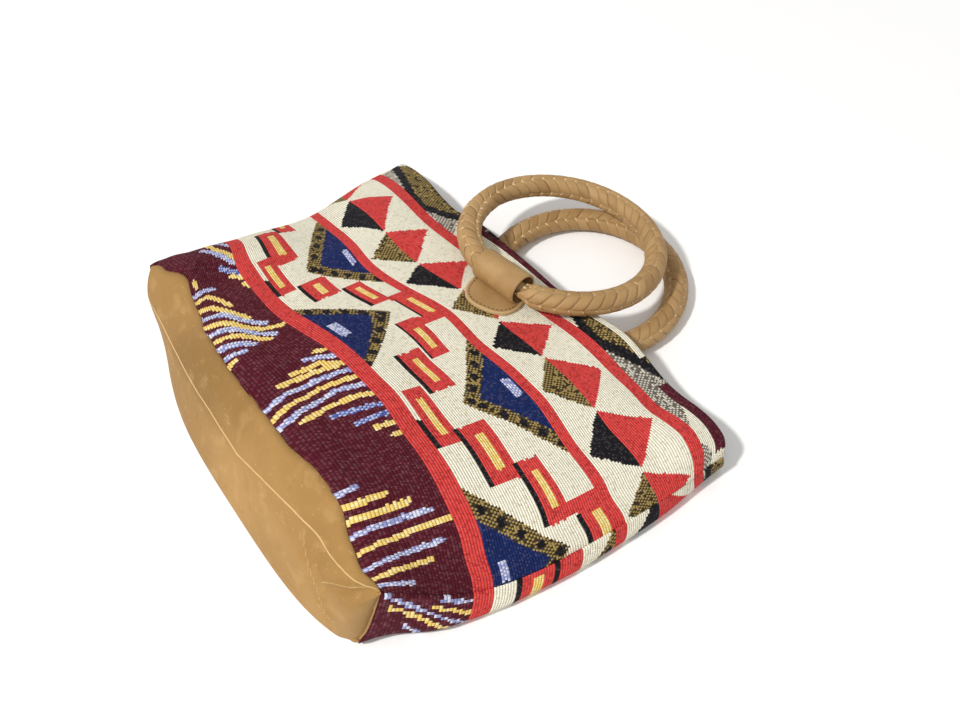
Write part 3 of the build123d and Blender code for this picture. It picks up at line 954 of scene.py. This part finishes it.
strapLeather = strapFinish("strapLeather", False)
stripLeather = strapFinish("stripLeather", True)
ringJobs = (  # label, node, joint, body, then the turn, twist and late turn of the braid
    ("front", "front_ring", "front_handle_swing", "front_handle", 0.10, 0.15, 0.65),
    ("back", "back_ring", "back_handle_swing", "back_handle", 0.90, 0.20, 0.0),
)
ringAt = {}
for label, node, joint, body, turn, twist, late in ringJobs:
    at = ringAt[label] = ringFrame(node, joint)
    strips = braidMesh(label + "Braid", at, turn, twist, late)
    braid = newPiece(strips, stripLeather, body, [node])
    thicken(braid, "strip", ring["strip"])
    newPiece(coreMesh(label + "Core", at), strapLeather, body, [node])
print("rings done")


# Tabs

tab = {
    "width": ring["tabWidth"], "tube": 0.0135, "strap": 0.002, "bevel": 0.0006, "backPlace": (0.64, 0.87),
    "tail": 0.033, "tailHalf": 0.024, "tailThick": 0.0032, "tailRim": 0.0013, "tailRound": 0.8,
    "stitchIn": 0.0030, "stitchStep": 0.0036, "stitchLong": 0.0024, "thread": 0.00045, "clear": 0.0001,
}
tubeRings = (  # place across, share of the tube's radius
    (-0.5, 0.955), (-0.46, 0.97), (-0.2, 0.985), (0.2, 1.0), (0.46, 1.01), (0.5, 1.005),
)


def tabFrame(label, joint, outward):
    origin, axis = hingeOf(joint)
    xDir = axis * outward
    if label == "front":
        zDir = ringAt["front"].to_3x3() @ Vector((0, 0, 1))
    else:
        ends = backPoint(np.zeros(2), np.array(tab["backPlace"]))
        slope = Vector(ends[1] - ends[0]).normalized()
        zDir = xDir.cross(slope).normalized()
    return axesAt(origin - zDir * tab["tube"], xDir, zDir.cross(xDir), zDir)


def tailOutline(inset, count, turn):
    half = tab["tailHalf"] - inset
    shoulder = tab["tailHalf"] - tab["tail"]
    points = [(half, 0)]
    for k in range(count + 1):
        step = math.pi * k / count
        x, y = [half * abs(side) ** tab["tailRound"] for side in (math.cos(step), math.sin(step))]
        points.append((math.copysign(x, math.cos(step)), shoulder - y))
    points.append((-half, 0))
    return [Matrix.Rotation(turn, 4, "Z") @ Vector((x, y, 0)) for x, y in points]


def tabMesh(name, at, turn):
    bm = bmesh.new()
    pale = bm.faces.layers.float.new("pale")
    rings = []
    upright = Matrix.Rotation(math.pi / 2, 4, "Y")
    for share, scale in tubeRings:
        made = bmesh.ops.create_circle(bm, segments=64, radius=tab["tube"] * scale)["verts"]
        stand = Matrix.Translation((tab["width"] * share, 0, tab["tube"])) @ upright
        bmesh.ops.transform(bm, matrix=stand, verts=made)
        rings.append(list({e for v in made for e in v.link_edges}))
    for first, second in zip(rings, rings[1:]):
        bmesh.ops.bridge_loops(bm, edges=first + second)
    bmesh.ops.recalc_face_normals(bm, faces=bm.faces[:])
    bmesh.ops.solidify(bm, geom=bm.faces[:], thickness=tab["strap"])
    corners = [bm.verts.new(point) for point in tailOutline(0, 28, turn)]
    tail = bm.faces.new(corners)
    if tail.normal.z > 0:
        tail.normal_flip()
    made = bmesh.ops.extrude_face_region(bm, geom=[tail])["geom"]
    lifted = [g for g in made if isinstance(g, bmesh.types.BMVert)]
    bmesh.ops.translate(bm, verts=lifted, vec=(0, 0, tab["tailThick"]))
    top = [g for g in made if isinstance(g, bmesh.types.BMFace)]
    bmesh.ops.inset_region(bm, faces=top, thickness=tab["tailRim"], use_even_offset=True)
    kept = set(top)
    sharp = [e for e in bm.edges if len(e.link_faces) == 2 and e.calc_face_angle() > 1.0]
    bmesh.ops.bevel(bm, geom=sharp, offset=tab["bevel"], affect="EDGES", segments=3, profile=0.5,
                    material=-1)
    bmesh.ops.recalc_face_normals(bm, faces=bm.faces[:])
    for face in bm.faces:
        low = face.calc_center_median().z < tab["tailThick"] + tab["clear"]
        face[pale] = float(abs(face.normal.x) > 0.9 or (low and face not in kept))
    bmesh.ops.transform(bm, matrix=at, verts=bm.verts[:])
    return meshFrom(bm, name)


def stitchMesh(name, at, turn):
    bm = bmesh.new()
    lift = Vector((0, 0, tab["tailThick"] + tab["clear"]))
    line = [point + lift for point in tailOutline(tab["stitchIn"], 60, turn)]
    travelled, step = 0.0, tab["stitchStep"]
    for a, b in zip(line, line[1:]):
        length = (b - a).length
        while travelled + length >= step:
            share = (step - travelled) / length
            a = a.lerp(b, share)
            length = (b - a).length
            travelled = 0.0
            made = bmesh.ops.create_uvsphere(bm, u_segments=8, v_segments=5, radius=1)["verts"]
            heading = math.atan2(b.y - a.y, b.x - a.x)
            size = Matrix.Diagonal((tab["stitchLong"] / 2, tab["thread"], tab["thread"] * 0.8, 1))
            spot = Matrix.Translation(a) @ Matrix.Rotation(heading, 4, "Z") @ size
            bmesh.ops.transform(bm, matrix=at @ spot, verts=made)
        travelled += length
    return meshFrom(bm, name)


def threadFinish():
    finish = Finish("thread", {"Roughness": 0.7})
    twist = finish.grain(finish.place(), 2500.0, 2.0)
    finish.feed("Base Color", finish.colour(twist, dye(52, 38, 26), dye(96, 72, 46)))
    return finish


thread = threadFinish()
tabJobs = (  # label, node, joint, side of the hinge's axis, turn of the tail
    ("front", "front_tab", "front_handle_swing", 1, 0.28),
    ("back", "back_tab", "back_handle_swing", -1, 0.0),
)
for label, node, joint, outward, turn in tabJobs:
    at = tabFrame(label, joint, outward)
    newPiece(tabMesh(label + "Tab", at, turn), strapLeather, "bag", [node])
    newPiece(stitchMesh(label + "Stitches", at, turn), thread, "bag")
print("tabs done")


# Floor, light and camera

studio = {
    "floorHalf": 4.0, "floorDrop": 0.0004, "whiteFrom": (0.75, 0.30),
    "azimuth": 54.7395, "elevation": 50.6154, "roll": -2.0141, "focal": 986.154, "sensor": 36,
    "distance": 0.82108, "target": (0.017335, 0.010940, 0.0), "imageWidth": 960,
    "key": 119.0, "keySize": 0.32, "keyDistance": 4.0, "keyLeft": 0.62, "keyToward": 0.46,
    "fill": 2.0, "fillSize": 0.9, "fillDistance": 1.8, "sky": 0.57,
}


def floorFinish():
    finish = Finish("studioFloor", {"Roughness": 0.9, "Specular IOR Level": 0.0})
    where = finish.place()
    wide = finish.grain(where, 1.5, 2.0)
    finish.feed("Base Color", finish.colour(wide, (0.95, 0.94, 0.92, 1), (0.97, 0.96, 0.94, 1)))
    away = finish.add("VectorMath", {"operation": "LENGTH"}, {0: where}, "Value")
    finish.whiten(away.above(*studio["whiteFrom"]), "Emission", "Material Output")
    return finish


bm = bmesh.new()
bmesh.ops.create_grid(bm, x_segments=1, y_segments=1, size=studio["floorHalf"])
floorMesh = meshFrom(bm, "studioFloor")
floorMesh.materials.append(floorFinish().material)
floor = bpy.data.objects.new("studioFloor", floorMesh)
bpy.context.scene.collection.objects.link(floor)
floor.location.z = -studio["floorDrop"]

lookDown = math.radians(studio["elevation"])
lookRound = math.radians(studio["azimuth"])
level = math.cos(lookDown)
backward = Vector((math.sin(lookRound) * level, -math.cos(lookRound) * level, math.sin(lookDown)))
rightward = Vector((math.cos(lookRound), math.sin(lookRound), 0))
upward = backward.cross(rightward)
tilt = math.radians(studio["roll"])
rightward, upward = (rightward * math.cos(tilt) + upward * math.sin(tilt),
                     upward * math.cos(tilt) - rightward * math.sin(tilt))
lens = bpy.data.cameras.new("camera")
lens.sensor_width = studio["sensor"]
lens.lens = studio["focal"] * lens.sensor_width / studio["imageWidth"]
camera = bpy.data.objects.new("camera", lens)
bpy.context.scene.collection.objects.link(camera)
eye = Vector(studio["target"]) + backward * studio["distance"]
camera.matrix_world = axesAt(eye, rightward, upward, backward)
bpy.context.scene.camera = camera


def softLamp(name, place, size, watts):
    lamp = bpy.data.lights.new(name, "AREA")
    lamp.shape = "DISK"
    lamp.size = size
    lamp.energy = watts
    holder = bpy.data.objects.new(name, lamp)
    bpy.context.scene.collection.objects.link(holder)
    holder.location = place
    holder.rotation_mode = "QUATERNION"
    holder.rotation_quaternion = Vector(place).to_track_quat("Z", "Y")


toward = Vector((backward.x, backward.y, 0)).normalized()
fromLeft = Vector((0, 0, 1)) - rightward * studio["keyLeft"] + toward * studio["keyToward"]
softLamp("keyLamp", fromLeft.normalized() * studio["keyDistance"], studio["keySize"], studio["key"])
softLamp("fillLamp", backward * studio["fillDistance"], studio["fillSize"], studio["fill"])
world = bpy.data.worlds.new("studioSky")
bpy.context.scene.world = world
sky = Finish("studioSky", {"Color": (1, 1, 1, 1), "Strength": studio["sky"]}, world, "Background")
sky.whiten(1.0, "Background", "World Output")
bpy.context.scene.view_settings.view_transform = "Standard"
print("studio done")

bpy.context.view_layer.update()
